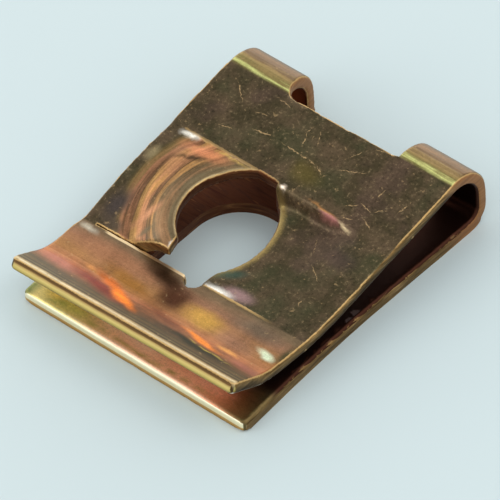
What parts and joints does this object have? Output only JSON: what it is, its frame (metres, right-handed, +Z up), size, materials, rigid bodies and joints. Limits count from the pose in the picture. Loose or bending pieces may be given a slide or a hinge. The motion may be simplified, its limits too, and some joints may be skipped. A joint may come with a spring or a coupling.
{
  "type": "clip nut",
  "caption": "Folded spring-steel clip nut with a raised tongue and a lowered flap that grip a screw, a flared lip and a notched fold.",
  "frame": {"origin": "on the underside of the lower leg, in the middle of the strip's width, below the centre of the raised tongue's arc", "axes": "+Z up, square to the lower leg; +Y towards the fold; +X to the right seen from the lip"},
  "size_m": [0.0142, 0.0183, 0.004],
  "materials": {
    "plated_steel": "zinc plated with yellow chromate, satin, worn"
  },
  "bodies": {
    "root": {"clip_nut": "plated_steel"}
  },
  "joints": []
}
